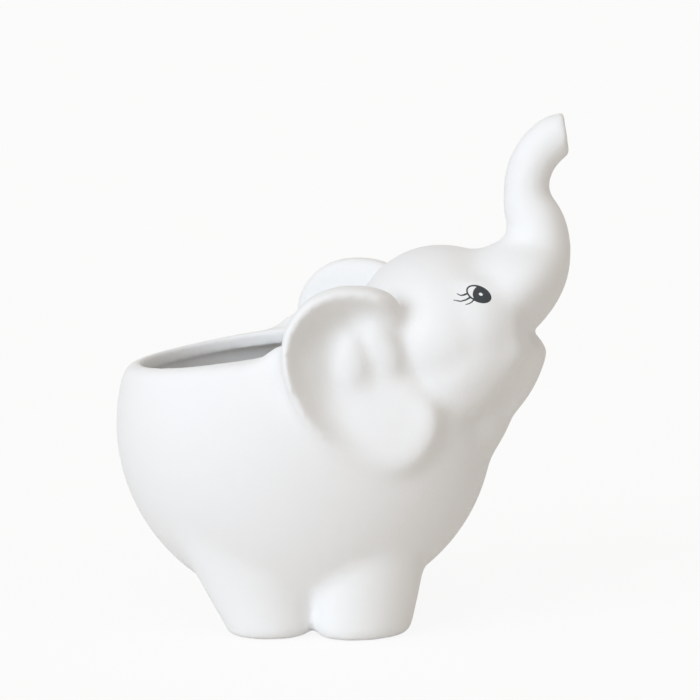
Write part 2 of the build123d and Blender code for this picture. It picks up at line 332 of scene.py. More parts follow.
tip_grow = TIP_RADIUS / ring_radius
bpy.ops.transform.resize(value=(tip_grow,) * 3, center_override=ring_centre * MM)
tip_underside = ring_centre - heading(angle + math.pi / 2) * TIP_RADIUS
bpy.ops.transform.rotate(value=-TIP_TURN, orient_axis="Y", center_override=tip_underside * MM)
bpy.ops.mesh.inset(thickness=NOSTRIL_EDGE * MM, depth=0)
nostril_step = heading(angle - TIP_TURN) * -NOSTRIL_DEPTH
bpy.ops.transform.translate(value=nostril_step * MM)
face_outwards()
trunk_blank = melted([trunk_blank], "trunk_blank", TRUNK_ROUNDS)
print("trunk ends at", [round(x, 1) for x in ring_centre], "mm")

# %% [markdown]
# ## The ears
# An ear is a thick leaf on the side of the belly with a deep dish in its outer face. A sculptor
# would press the dish with a thumb. Here the outline is drawn in the side view as a circle of
# points that are moved to their places, because its form matters most. The third number of an
# outline point says how much of the rim stands there: it is whole above and behind, low round the
# lobe, and in front it sinks into the side of the head.

# %% Ear outline
EAR_OUTLINE = [
    (22.4, 112.9, 0.35), (19.8, 117.1, 0.75), (15.6, 120.0, 1), (10.8, 121.6, 1), (2.7, 122.3, 1),
    (-5.5, 120.6, 1), (-12.0, 116.3, 1), (-17.0, 109.1, 1), (-18.6, 101.5, 1), (-17.6, 92.5, 1),
    (-14.4, 83.4, 1), (-8.3, 73.8, 0.9), (0.0, 66.2, 0.65), (8.0, 61.9, 0.4), (15.0, 59.8, 0.25),
    (21.0, 59.2, 0.2), (26.2, 60.9, 0.2), (30.4, 65.2, 0.25), (33.6, 70.5, 0.3), (34.9, 75.8, 0.3),
    (33.9, 81.1, 0.2), (29.0, 86.0, 0.05), (24.0, 91.0, 0), (21.5, 97.0, 0), (21.0, 104.0, 0.05),
]
start_clean()
bpy.ops.mesh.primitive_circle_add(vertices=len(EAR_OUTLINE), radius=MM, enter_editmode=True)
right_ear_blank = bpy.context.object
right_ear_blank.name = "right_ear_blank"
outline = bmesh.from_edit_mesh(right_ear_blank.data)
outline.verts.ensure_lookup_table()
for vertex, (x, z, _) in zip(outline.verts, EAR_OUTLINE):
    vertex.co = Vector((x, 0, z)) * MM
bmesh.update_edit_mesh(right_ear_blank.data)
bpy.ops.mesh.select_all(action="SELECT")
print("ear outline", len(EAR_OUTLINE), "points")

# %% [markdown]
# Rings are then extruded inwards over the rim and down into the dish, and one ring outwards to the
# back. They are still flat here.

# %% Ear rings
DISH_CENTRE = (2.0, 94.0)
BACK_GROWTH = 1.05
# Each ring is a size, a share of the rim's height and a share of the rounding of the rim's edge
DISH_RINGS = [
    (1.0, 1.0, 1.0), (0.97, 1.0, 0.3), (0.93, 1.0, 0.05), (0.88, 0.95, 0), (0.83, 0.82, 0),
    (0.78, 0.62, 0), (0.73, 0.42, 0), (0.66, 0.22, 0), (0.56, 0.08, 0), (0.42, 0.01, 0),
    (0.25, 0, 0), (0.10, 0, 0),
]
dish_middle = Vector((DISH_CENTRE[0], 0, DISH_CENTRE[1])) * MM
size_now = 1.0
for size, _, _ in DISH_RINGS[1:]:
    bpy.ops.mesh.extrude_edges_move()
    grow = size / size_now
    bpy.ops.transform.resize(value=(grow, 1, grow), center_override=dish_middle)
    size_now = size
bpy.ops.mesh.edge_face_add()
bpy.ops.mesh.select_all(action="DESELECT")
outline = bmesh.from_edit_mesh(right_ear_blank.data)
outline.verts.ensure_lookup_table()
for vertex in outline.verts[: len(EAR_OUTLINE)]:
    vertex.select = True
outline.select_flush(True)
bpy.ops.mesh.extrude_edges_move()
bpy.ops.transform.resize(value=(BACK_GROWTH, 1, BACK_GROWTH), center_override=dish_middle)
bpy.ops.mesh.edge_face_add()
bpy.ops.object.mode_set(mode="OBJECT")
print("ear rings", len(DISH_RINGS) + 1)

# %% [markdown]
# Last, each ring is laid at its own depth. The leaf leans out behind and below. The floor of the
# dish is deep behind and raised in the lobe, and the rim's outer edge is rounded.

# %% Lay the ear's rings
EAR_CENTRE = (10.2, 90.9)
EAR_MIDDLE_Y = -43.8
EAR_SLOPE = (0.2126, 0.0895)
RIM_OUT = 6.2
EAR_BACK = 9.0
EDGE_ROUND = 3.5
EDGE_FADE = 4
DISH_OUT = -5.3
LOBE_OUT = -0.2
LOBE = (25.0, 70.0)
LOBE_REACH = (5.0, 40.0)


def ear_plane_y(x, z):
    """The middle of the ear's leaf, which leans out behind and below."""
    along, up = x - EAR_CENTRE[0], z - EAR_CENTRE[1]
    return EAR_MIDDLE_Y + EAR_SLOPE[0] * along + EAR_SLOPE[1] * up


def soft_step(value, low, high):
    """A soft step from 0 at low to 1 at high."""
    share = min(1, max(0, (value - low) / (high - low)))
    return share * share * (3 - 2 * share)


def dish_floor(x, z):
    """How far the floor of the dish lies outside the leaf's middle."""
    deep = soft_step(math.hypot(x - LOBE[0], z - LOBE[1]), *LOBE_REACH)
    return LOBE_OUT + (DISH_OUT - LOBE_OUT) * deep


for vertex in right_ear_blank.data.vertices:
    ring, spoke = divmod(vertex.index, len(EAR_OUTLINE))
    x, z = vertex.co.x / MM, vertex.co.z / MM
    out = -EAR_BACK
    if ring < len(DISH_RINGS):
        _, height, edge = DISH_RINGS[ring]
        rim_share = EAR_OUTLINE[spoke][2]
        floor_out = dish_floor(x, z)
        out = floor_out + (RIM_OUT - floor_out) * height * rim_share
        out -= EDGE_ROUND * edge * min(1, EDGE_FADE * rim_share)
    vertex.co.y = (ear_plane_y(x, z) - out) * MM
open_mesh(right_ear_blank)
face_outwards()
apply_modifier(right_ear_blank, "SUBSURF", levels=2, render_levels=2)
print("ear", len(right_ear_blank.data.vertices), "vertices")

# %% [markdown]
# Inside the dish, next to the head, two soft folds stand up with a crease between them. They are
# two small eggs sunk in the floor of the dish. A third egg behind the ear, the web, fills the
# corner between its back and the rim of the pot. The left ear is the right one mirrored, which
# turns a mesh inside out, so its normals are made consistent again.

# %% Ear folds and the left ear
# Each row is a name, a centre, a size and a lean in degrees
EAR_FOLDS = [
    ("outer_fold", (4.6, -39.2, 96.0), (13, 9, 23), 6),
    ("inner_fold", (14.2, -37.4, 101.5), (12, 10, 28), 24),
]
WEB_CENTRE = (-15.5, -41.0, 94.0)
WEB_SIZE = (22, 12, 18)


def own_copy(piece, name):
    """A copy of a piece, with a mesh of its own."""
    copy = piece.copy()
    copy.data = piece.data.copy()
    copy.name = name
    bpy.context.collection.objects.link(copy)
    return copy


def mirrored(piece, name):
    """A copy of a piece on the other side of the animal."""
    copy = own_copy(piece, name)
    open_mesh(copy)
    bpy.ops.transform.resize(value=(1, -1, 1), center_override=(0, 0, 0))
    face_outwards()
    return copy


right_folds = [
    egg_blank(name, centre, size, lean, segments=32) for name, centre, size, lean in EAR_FOLDS
]
right_web = egg_blank("right_web", WEB_CENTRE, WEB_SIZE, segments=32)
left_ear_blank = mirrored(right_ear_blank, "left_ear_blank")
left_folds = [mirrored(fold, fold.name + "_left") for fold in right_folds]
left_web = mirrored(right_web, "left_web")
print("ears, webs and folds", len(right_folds) + len(left_folds) + 4, "blanks")

# %% [markdown]
# The dish goes deeper than the belly bulges. A socket in the belly makes room for it: a straight
# punch a little smaller than the ear's outline, which the Boolean modifier takes away.

# %% Ear sockets
SOCKET_SIZE = 0.93
SOCKET_FROM = 12.0
SOCKET_TO = -7.5


def cut(piece, tool, operation):
    """Boolean one piece with a tool, which stays."""
    apply_modifier(
        piece, "BOOLEAN", operation=operation, solver="EXACT", object=tool, material_mode="TRANSFER"
    )


right_socket = add_disc(len(EAR_OUTLINE), 1)
right_socket.name = "right_socket"
punch = bmesh.from_edit_mesh(right_socket.data)
for vertex, (x, z, _) in zip(punch.verts, EAR_OUTLINE):
    x = DISH_CENTRE[0] + (x - DISH_CENTRE[0]) * SOCKET_SIZE
    z = DISH_CENTRE[1] + (z - DISH_CENTRE[1]) * SOCKET_SIZE
    vertex.co = Vector((x, ear_plane_y(x, z) - SOCKET_FROM, z)) * MM
bmesh.update_edit_mesh(right_socket.data)
bpy.ops.mesh.select_all(action="SELECT")
pull_out((0, (SOCKET_FROM - SOCKET_TO) * MM, 0))
face_outwards()
left_socket = mirrored(right_socket, "left_socket")
for socket in (right_socket, left_socket):
    cut(belly, socket, "DIFFERENCE")
    bpy.data.objects.remove(socket)
print("belly with sockets", len(belly.data.polygons), "faces")

# %% [markdown]
# ## The feet
# Four short legs widen upwards into the belly, and each stands on a flat sole with a rounded edge.
# A cylinder with a bevel would be as wide above as below, so a leg is an oval that is extruded up
# in steps, each step moved and stretched a little.

# %% Foot blanks
SOLE_ROUND = 4.0
SOLE_EDGE = 0.3 * SOLE_ROUND
LEG_TOP = 38.0
# The right legs: the middle of the sole, its length and width, how many degrees the toes turn
# inwards, and how far the leg widens along the body and sideways
LEGS = {
    "front_leg": {
        "middle": (7.5, -18.0), "length": 35.0, "width": 27.0,
        "turn": 25, "flare": 7.0, "splay": 4.0,
    },
    "rear_leg": {
        "middle": (-24.3, -19.0), "length": 30.6, "width": 25.0,
        "turn": 0, "flare": -19.0, "splay": 4.0,
    },
}


def leg_blank(name, middle, length, width, turn, flare, splay):
    """A right leg, from its sole up into the belly."""
    middle_x, middle_y = middle
    rings = [
        (0.0, middle_x, middle_y, length - 2 * SOLE_ROUND, width - 2 * SOLE_ROUND),
        (SOLE_EDGE, middle_x, middle_y, length - 2 * SOLE_EDGE, width - 2 * SOLE_EDGE),
        (SOLE_ROUND, middle_x, middle_y, length, width),
        (LEG_TOP, middle_x + flare / 2, middle_y - splay / 2, length + abs(flare), width + splay),
    ]
    height, x, y, long, wide = rings[0]
    leg = add_disc(OVAL_CORNERS, 0.5)
    leg.name = name
    bpy.ops.transform.resize(value=(long, wide, 1))
    bpy.ops.transform.translate(value=Vector((x, y, height)) * MM)
    for ring in rings[1:]:
        pull_out(Vector((ring[1] - x, ring[2] - y, ring[0] - height)) * MM)
        grow = (ring[3] / long, ring[4] / wide, 1)
        height, x, y, long, wide = ring
        bpy.ops.transform.resize(value=grow, center_override=Vector((x, y, height)) * MM)
    bpy.ops.mesh.select_all(action="SELECT")
    sole_middle = Vector((middle_x, middle_y, 0)) * MM
    bpy.ops.transform.rotate(
        value=-math.radians(turn), orient_axis="Z", center_override=sole_middle
    )
    face_outwards()
    return leg


leg_blanks = [leg_blank(name, **sizes) for name, sizes in LEGS.items()]
leg_blanks += [mirrored(leg, leg.name + "_left") for leg in leg_blanks]
print("legs", [leg.name for leg in leg_blanks])

# %% [markdown]
# ## Joining the castings
# All the blanks are joined and voxel remeshed, which makes one closed skin of even squares. The
# wiping below needs to know where the blanks were, so a search tree over each blank's faces is kept
# first. The rim and the side of the belly count as two, so the shoulder is rounded as well. Copies
# of the ears and webs are kept too, to part the ears again later.

# %% Surfaces of the blanks
RIM_LEVEL = 0.9999
RIM_NEAR = 0.01
EGG_SHARE = 0.985
UNDERSIDE_NEAR = 0.1


def surface_of(pieces, keep=lambda face: True):
    """A search tree over the faces of several pieces that are kept."""
    points, faces = [], []
    for piece in pieces:
        first = len(points)
        points += [vertex.co.copy() for vertex in piece.data.vertices]
        kept = [face for face in piece.data.polygons if keep(face)]
        faces += [[first + index for index in face.vertices] for face in kept]
    return BVHTree.FromPolygons(points, faces)


def on_rim(face):
    """Whether a face of the belly is its flat rim."""
    above = (face.center - rim_point).dot(rim_up)
    return face.normal.dot(rim_up) > RIM_LEVEL and abs(above) < RIM_NEAR * MM


def on_side(face):
    """Whether a face of the belly is on the egg or underneath, and not in a socket."""
    place = face.center / MM - Vector(BELLY_CENTRE)
    across = [2 * along / length for along, length in zip(place, BELLY_SIZE)]
    underneath = face.center.z < (UNDERSIDE_Z + UNDERSIDE_NEAR) * MM
    return Vector(across).length > EGG_SHARE or underneath


ear_tools = []
for pair in ((right_ear_blank, right_web), (left_ear_blank, left_web)):
    start_clean()
    for blank in pair:
        blank.select_set(True)
    bpy.ops.object.duplicate()
    bpy.context.view_layer.objects.active = bpy.context.selected_objects[0]
    bpy.ops.object.join()
    ear_tools.append(bpy.context.object)
surfaces = {
    "belly": surface_of([belly], on_side),
    "rim": surface_of([belly], on_rim),
    "head": surface_of([head_blank]),
    "jaw": surface_of([jaw_blank]),
    "trunk": surface_of([trunk_blank]),
    "right_ear": surface_of([right_ear_blank]),
    "left_ear": surface_of([left_ear_blank]),
    "folds": surface_of(right_folds + left_folds),
    "webs": surface_of([right_web, left_web]),
    "legs": surface_of(leg_blanks),
}
print("surfaces", list(surfaces))

# %% [markdown]
# A flat face that slants through the voxels comes out in steps, so the skin is turned for the
# remesh until its rim lies level, and back afterwards.


# %% One skin
def remesh_level(piece):
    """Voxel remesh a piece while its rim is turned level."""
    for turn in (-RIM_TILT, RIM_TILT):
        open_mesh(piece)
        bpy.ops.transform.rotate(value=turn, orient_axis="Y", center_override=rim_point)
        bpy.ops.object.mode_set(mode="OBJECT")
        if turn < 0:
            apply_modifier(piece, "REMESH", mode="VOXEL", voxel_size=VOXEL * MM)


blanks = [belly, head_blank, jaw_blank, trunk_blank, right_ear_blank, left_ear_blank]
blanks += [right_web, left_web]
skin = joined(blanks + right_folds + left_folds + leg_blanks, "skin")
remesh_level(skin)
print("skin", len(skin.data.polygons), "faces")

# %% [markdown]
# Wherever a point of the skin lies near a second blank, it is on a join, and gets a weight. The
# Smooth modifier then wipes the joins round, by that weight, and leaves the rest as it is. Each
# blank says how far its joins are wiped, in millimetres, and some pairs have a reach of their own.
# Near the corner of the animal's mouth, where the jaw meets the trunk, nothing is wiped, so that
# crease stays sharp.

# %% Wipe the joins
REACH = {
    "belly": 13.0, "rim": 13.0, "head": 10.0, "jaw": 10.0, "trunk": 10.0,
    "right_ear": 13.0, "left_ear": 13.0, "folds": 4.0, "webs": 9.0, "legs": 7.0,
}
PAIR_REACH = {
    frozenset(("belly", "rim")): 8.0,
    frozenset(("jaw", "trunk")): 1.6,
    frozenset(("jaw", "head")): 4.0,
}
CREASE = (2.0, 8.0)
JOIN_ROUNDS = 80
SKIN_ROUNDS = 4


def join_weight(place):
    """1 on a join between two blanks, fading to 0 at the distance to which it is wiped."""
    near = {}
    for name, surface in surfaces.items():
        distance = surface.find_nearest(place, REACH[name] * MM)[3]
        if distance is not None:
            near[name] = distance / MM
    if len(near) < 2:
        return 0.0
    first, second = sorted(near, key=near.get)[:2]
    reach = PAIR_REACH.get(frozenset((first, second)), min(REACH[first], REACH[second]))
    weight = 1.0 - soft_step(near[second], 0, reach)
    if "jaw" in near and "trunk" in near:
        weight *= soft_step(max(near["jaw"], near["trunk"]), *CREASE)
    return weight


joins = skin.vertex_groups.new(name="joins")
wiped = 0
for vertex in skin.data.vertices:
    weight = join_weight(vertex.co)
    if weight > 0:
        joins.add([vertex.index], weight, "REPLACE")
        wiped += 1
apply_modifier(skin, "SMOOTH", factor=SMOOTHING, iterations=JOIN_ROUNDS, vertex_group="joins")
apply_modifier(skin, "SMOOTH", factor=SMOOTHING, iterations=SKIN_ROUNDS)
print("wiped", wiped, "points of", len(skin.data.vertices))

# %% [markdown]
# ## The hollow of the pot
# The mouth is an oval hole through the tilted rim, the hollow below it keeps an even wall, and a
# small drain hole goes through the floor. They are cut with the Boolean modifier after the wiping,
# so that nothing of the head is left standing inside. A second remesh then rounds the lip as fired
# clay is.

# %% Tools for the hollow
WALL = 5.0
FLOOR_Z = 13.0
MOUTH_SIZE = (71.5, 68.0)
MOUTH_ALONG = -20.9
MOUTH_CUT = (-WALL - 3, 30)
DRAIN_SIZE = (12.0, 12.0)
DRAIN_CUT = (2, 20)
UPRIGHT = Vector((0, 0, 1))


def oval_tool(name, middle, direction, size, low, high):
    """A straight oval punch along a direction, from low to high, in millimetres."""
    tool = add_disc(128, 0.5)
    tool.name = name
    bpy.ops.transform.resize(value=(size[0], size[1], 1))
    bpy.ops.transform.translate(value=(0, 0, low * MM))
    pull_out((0, 0, (high - low) * MM))
    face_outwards()
    turn = UPRIGHT.rotation_difference(direction).to_matrix().to_4x4()
    tool.matrix_world = Matrix.Translation(middle) @ turn
    bpy.ops.object.transform_apply()
    return tool


hollow_size = [length - 2 * WALL for length in BELLY_SIZE]
hollow = egg_blank("hollow", BELLY_CENTRE, hollow_size, segments=128)
open_mesh(hollow)
trim((0, 0, FLOOR_Z * MM), (0, 0, -1))
trim(rim_point - rim_up * WALL * MM, rim_up)
bpy.ops.object.mode_set(mode="OBJECT")
rim_front = Vector((math.cos(RIM_TILT), 0, math.sin(RIM_TILT)))
mouth_middle = rim_point + rim_front * MOUTH_ALONG * MM
mouth_tool = oval_tool("mouth_tool", mouth_middle, rim_up, MOUTH_SIZE, *MOUTH_CUT)
drain_middle = Vector((BELLY_CENTRE[0], 0, 0)) * MM
drain_tool = oval_tool("drain_tool", drain_middle, UPRIGHT, DRAIN_SIZE, *DRAIN_CUT)
print("hollow", [round(length, 1) for length in hollow_size], "mm before its cuts")

# %% Cut the hollow
for tool in (hollow, mouth_tool, drain_tool):
    cut(skin, tool, "DIFFERENCE")
    bpy.data.objects.remove(tool)
remesh_level(skin)
apply_modifier(skin, "SMOOTH", factor=SMOOTHING, iterations=SKIN_ROUNDS)
print("hollow skin", len(skin.data.polygons), "faces")

# %% [markdown]
# ## Back to separate castings
# Each casting is a piece of its own, so the finished skin is parted where the castings were joined:
# round each ear with a hull of its blank that stops in the wall of the pot, round the belly a hair
# outside its own surface, and with flat cuts at the trunk, at the jaw and between the feet. A copy
# of the whole skin stays until the end: each piece takes its shading normals from it, so that no
# line shows where two pieces meet.

# %% Part the ears and the belly from the rest
LUTE = 1.0
EAR_SEAT = 3.0
EAR_SUNK = 3.4
cut_face = bpy.data.materials.new("cut_face")
skin_face = bpy.data.materials.new("skin_face")
skin.data.materials.clear()
skin.data.materials.append(skin_face)
whole = own_copy(skin, "whole_skin")
take(whole)
bpy.ops.object.shade_smooth()


def parted(piece, tool, name):
    """What of a piece lies inside a tool becomes a new piece, and the tool goes."""
    tool.data.materials.clear()
    tool.data.materials.append(cut_face)
    inside = own_copy(piece, name)
    cut(inside, tool, "INTERSECT")
    cut(piece, tool, "DIFFERENCE")
    bpy.data.objects.remove(tool)
    return inside


pot_wall = belly_blank("pot_wall", -EAR_SUNK)
for ear_tool in ear_tools:
    open_mesh(ear_tool)
    bpy.ops.mesh.convex_hull()
    bpy.ops.transform.shrink_fatten(value=EAR_SEAT * MM)
    bpy.ops.object.mode_set(mode="OBJECT")
    cut(ear_tool, pot_wall, "DIFFERENCE")
bpy.data.objects.remove(pot_wall)
right_ear = parted(skin, ear_tools[0], "right_ear_ceramic")
left_ear = parted(skin, ear_tools[1], "left_ear_ceramic")
pot_body = parted(skin, belly_blank("lute_tool", LUTE), "pot_body_ceramic")
print("parted", [piece.name for piece in (right_ear, left_ear, pot_body)])

# %% [markdown]
# The Boolean gave every cut face the tool's material, so the cuts can be found by it. Their edges
# are marked sharp, because shading must not run round them.


# %% Sharpen the cuts
def select_faces(piece, wanted):
    """Select the faces of an open mesh that pass a test, and no others."""
    bpy.ops.mesh.select_mode(type="FACE")
    bpy.ops.mesh.select_all(action="DESELECT")
    mesh = bmesh.from_edit_mesh(piece.data)
    for face in mesh.faces:
        face.select = wanted(face)
    bmesh.update_edit_mesh(piece.data)


for piece in (pot_body, right_ear, left_ear, skin):
    slots = [slot.material for slot in piece.material_slots]
    open_mesh(piece)
    select_faces(piece, lambda face: slots[face.material_index] == cut_face)
    bpy.ops.mesh.region_to_loop()
    bpy.ops.mesh.mark_sharp()
    bpy.ops.object.mode_set(mode="OBJECT")
    print(piece.name, len(piece.data.polygons), "faces")

# %% [markdown]
# What is left is the head with trunk and jaw, and the feet. Flat cuts part them: bisect divides the
# faces along a plane, the faces on one side go into a piece of their own, and both cuts are filled.


# %% Flat cuts
def part_selected(name):
    """Take the selected faces of an open mesh off into a piece of their own."""
    before = set(bpy.data.objects)
    bpy.ops.mesh.separate(type="SELECTED")
    bpy.ops.object.mode_set(mode="OBJECT")
    (fresh,) = set(bpy.data.objects) - before
    fresh.name = name
    return fresh


def close_cut(piece):
    """Fill an open cut, mark its edge sharp and see that the faces look outwards."""
    open_mesh(piece)
    bpy.ops.mesh.select_mode(type="EDGE")
    bpy.ops.mesh.select_all(action="DESELECT")
    bpy.ops.mesh.select_non_manifold(
        extend=False, use_wire=False, use_boundary=True, use_multi_face=False,
        use_non_contiguous=False, use_verts=False,
    )
    if piece.data.total_edge_sel:
        bpy.ops.mesh.mark_sharp()
        bpy.ops.mesh.fill()
    bpy.ops.mesh.select_all(action="SELECT")
    bpy.ops.mesh.normals_make_consistent(inside=False)
    if bmesh.from_edit_mesh(piece.data).calc_volume(signed=True) < 0:
        bpy.ops.mesh.flip_normals()
    bpy.ops.object.mode_set(mode="OBJECT")


def slice_off(piece, name, point, direction):
    """Cut a closed piece with a plane: what lies in that direction becomes a new closed piece."""
    point, direction = Vector(point) * MM, Vector(direction).normalized()
    open_mesh(piece)
    bpy.ops.mesh.bisect(plane_co=point, plane_no=direction, use_fill=False)
    select_faces(piece, lambda face: (face.calc_center_median() - point).dot(direction) > 0)
    fresh = part_selected(name)
    close_cut(piece)
    close_cut(fresh)
    return fresh


print("flat cuts ready")

# %% Part the feet, the trunk and the jaw
FEET_BELOW = 45.0
# Each plane is a point of it and the way towards what comes off
LEFT_FEET_PLANE = ((0, 0, 0), (0, 1, 0))
FRONT_FEET_PLANE = ((-9.2, 0, 0), (1, 0, 0))
TRUNK_PLANE = ((56.5, 0, 115.0), (0.881, 0, 0.472))
JAW_PLANE = ((51.6, 0, 88.3), (0.728, 0, -0.686))
open_mesh(skin)
select_faces(skin, lambda face: face.calc_center_median().z < FEET_BELOW * MM)
rear_right_foot = part_selected("rear_right_foot_ceramic")
rear_left_foot = slice_off(rear_right_foot, "rear_left_foot_ceramic", *LEFT_FEET_PLANE)
front_right_foot = slice_off(rear_right_foot, "front_right_foot_ceramic", *FRONT_FEET_PLANE)
front_left_foot = slice_off(rear_left_foot, "front_left_foot_ceramic", *FRONT_FEET_PLANE)
trunk = slice_off(skin, "trunk_ceramic", *TRUNK_PLANE)
lower_jaw = slice_off(skin, "lower_jaw_ceramic", *JAW_PLANE)
head = skin
head.name = "head_ceramic"
castings = {
    "pot_body": pot_body, "head": head, "trunk": trunk, "lower_jaw": lower_jaw,
    "right_ear": right_ear, "left_ear": left_ear,
    "front_right_foot": front_right_foot, "front_left_foot": front_left_foot,
    "rear_right_foot": rear_right_foot, "rear_left_foot": rear_left_foot,
}
for node, piece in castings.items():
    print(node, len(piece.data.polygons), "faces")

# %% [markdown]
# ## The printed eyes
# The eye is a dark print under the firing: an oval outline, a big iris with a small glint, a white
# crescent behind it and three lashes. A painted pattern in the clay's material could show it, but
# the print is a piece of its own. Its lines are worked out first, as loops of points.

# %% Lines of the eye
EYE_LEAN = math.radians(-25)
EYE_HALF = (4.4, 2.65)
EYE_LINE = 0.5
EYE_CORNERS = 96
IRIS_PLACE = (0.84, 0.33)
IRIS_RADIUS = 2.87
GLINT_PLACE = (0.62, 0.2)
GLINT_HALF = (0.7, 0.5)
GLINT_CORNERS = 32
CRESCENT = (-2.02, 1.9)
CRESCENT_STEPS = 24


def leaned(x, y):
    """A point of the leaning eye in upright places."""
    return (
        x * math.cos(EYE_LEAN) - y * math.sin(EYE_LEAN),
        x * math.sin(EYE_LEAN) + y * math.cos(EYE_LEAN),
    )


def oval_points(middle, half, count):
    """Points round an oval of the leaning eye."""
    turns = [2 * math.pi * index / count for index in range(count)]
    return [
        leaned(middle[0] + half[0] * math.cos(turn), middle[1] + half[1] * math.sin(turn))
        for turn in turns
    ]


def crescent_points():
    """The clay that shows between the outline and the back of the iris."""
    half = [length - EYE_LINE for length in EYE_HALF]
    low, high = CRESCENT
    heights = [
        low + (high - low) * index / CRESCENT_STEPS for index in range(CRESCENT_STEPS + 1)
    ]
    back = [(-half[0] * math.sqrt(1 - (y / half[1]) ** 2), y) for y in heights]
    iris = [
        (IRIS_PLACE[0] - math.sqrt(IRIS_RADIUS**2 - (y - IRIS_PLACE[1]) ** 2), y) for y in heights
    ]
    return [leaned(*point) for point in back + iris[::-1]]


eye_loops = [
    oval_points((0, 0), EYE_HALF, EYE_CORNERS),
    crescent_points(),
    oval_points(GLINT_PLACE, GLINT_HALF, GLINT_CORNERS),
]
print("eye loops", [len(loop) for loop in eye_loops], "points")

# %% Lines of the lashes
LASHES = [
    [(-3.7, 0.2), (-4.9, -0.35), (-6.0, -0.5), (-7.2, 0.1)],
    [(-2.8, -1.1), (-4.2, -1.95), (-5.9, -2.45), (-8.3, -2.05)],
    [(-1.6, -1.9), (-2.2, -2.6), (-3.1, -3.2), (-4.4, -3.55)],
]
LASH_HALF = 0.34
LASH_TAPER = 0.7


def lash_points(line):
    """A lash that tapers towards its tip, round a line of places."""
    upper, lower = [], []
    for index, (x, y) in enumerate(line):
        half = LASH_HALF * (1 - LASH_TAPER * index / (len(line) - 1))
        upper.append((x, y + half))
        lower.append((x, y - half))
    return upper + lower[::-1]


lash_loops = [lash_points(line) for line in LASHES]
print("lashes", len(lash_loops))

# %% [markdown]
# Flat curves draw the loops, with holes where the clay shows through. The curves become a thin
# slab, which is remeshed so that it can bend.

# %% Draw the eye
SLAB = 0.6
SLAB_VOXEL = 0.1
SAME_POINT = 0.001


def drawn_slab(name, loops):
    """Closed loops of points as a slab of even thickness, made a mesh."""
    start_clean()
    drawing = bpy.data.curves.new(name, "CURVE")
    drawing.dimensions = "2D"
    drawing.fill_mode = "BOTH"
    drawing.extrude = SLAB / 2 * MM
    for loop in loops:
        line = drawing.splines.new("POLY")
        line.points.add(len(loop) - 1)
        line.use_cyclic_u = True
        for point, (x, y) in zip(line.points, loop):
            point.co = (x * MM, y * MM, 0, 1)
    slab = bpy.data.objects.new(name, drawing)
    bpy.context.collection.objects.link(slab)
    take(slab)
    bpy.ops.object.convert(target="MESH")
    slab = bpy.context.object
    open_mesh(slab)
    bpy.ops.mesh.remove_doubles(threshold=SAME_POINT * MM)
    face_outwards()
    return slab


slabs = [drawn_slab("eye_drawing", eye_loops)]
slabs += [drawn_slab("lash_drawing", [loop]) for loop in lash_loops]
eye_slab = joined(slabs, "eye_drawing")
apply_modifier(eye_slab, "REMESH", mode="VOXEL", voxel_size=SLAB_VOXEL * MM)
print("eye drawing", len(eye_slab.data.polygons), "faces")

# %% [markdown]
# Each point of the slab is then laid on the head along the way of a printer's stamp, which comes
# from the side and a little above, and sinks a hair into the clay.

# %% Lay the print on the head
EYE_PLACE = (46.1, 118.2)
PRINT_SUNK = 0.03
PRINT_THICK = 0.12
STAMP_OUT = 32.0
STAMP_TILT = math.radians(8)
STAMP_LIFT = 100 * MM
head_surface = surface_of([head, trunk])


def laid_eye(name, side):
    """A copy of the drawing on one side of the head: side is -1 for the right, 1 for the left."""
    eye = own_copy(eye_slab, name)
    stamp_at = Vector((EYE_PLACE[0], side * STAMP_OUT, EYE_PLACE[1])) * MM
    outwards = Vector((0, side * math.cos(STAMP_TILT), math.sin(STAMP_TILT)))
    upwards = Vector((0, -side * math.sin(STAMP_TILT), math.cos(STAMP_TILT)))
    for vertex in eye.data.vertices:
        on_stamp = stamp_at + Vector((vertex.co.x, 0, 0)) + upwards * vertex.co.y
        share = vertex.co.z / (SLAB * MM) + 0.5
        place, normal, _, _ = head_surface.ray_cast(on_stamp + outwards * STAMP_LIFT, -outwards)
        vertex.co = place + normal * (share * PRINT_THICK - PRINT_SUNK) * MM
    open_mesh(eye)
    face_outwards()
    return eye


right_eye = laid_eye("right_eye_print", -1)
left_eye = laid_eye("left_eye_print", 1)
bpy.data.objects.remove(eye_slab)
print("eye at", [round(x, 4) for x in right_eye.data.vertices[0].co])

# %% [markdown]
# ## Finishes
# Shader maths is written as plain expressions: a Wire wraps a node's socket, and its operators add
# the Math nodes. One method makes every other node. All patterns read Object coordinates, so that
# they sit still on the clay from any side.


# %% Wires
class Wire:
    """A socket of a material's nodes that + - and * work on."""

    def __init__(self, tree, socket):
        self.tree, self.socket = tree, socket

    def node(self, kind, settings, inputs):
        """Make a node: its settings first, then the values or wires of its sockets."""
        made = self.tree.nodes.new(kind)
        for name, value in settings.items():
            setattr(made, name, value)
        for name, value in inputs.items():
            if isinstance(value, Wire):
                self.tree.links.new(value.socket, made.inputs[name])
            else:
                made.inputs[name].default_value = value
        return made

    def out(self, kind, settings, inputs, name):
        """One output of a new node, as a wire."""
        return Wire(self.tree, self.node(kind, settings, inputs).outputs[name])

    def maths(self, operation, left, right):
        """A Math node on two values or wires."""
        return self.out("ShaderNodeMath", {"operation": operation}, {0: left, 1: right}, 0)

    def __add__(self, other):
        return self.maths("ADD", self, other)

    def __sub__(self, other):
        return self.maths("SUBTRACT", self, other)

    def __rsub__(self, other):
        return self.maths("SUBTRACT", other, self)

    def __mul__(self, other):
        return self.maths("MULTIPLY", self, other)

    __radd__ = __add__
    __rmul__ = __mul__


print("wires ready")


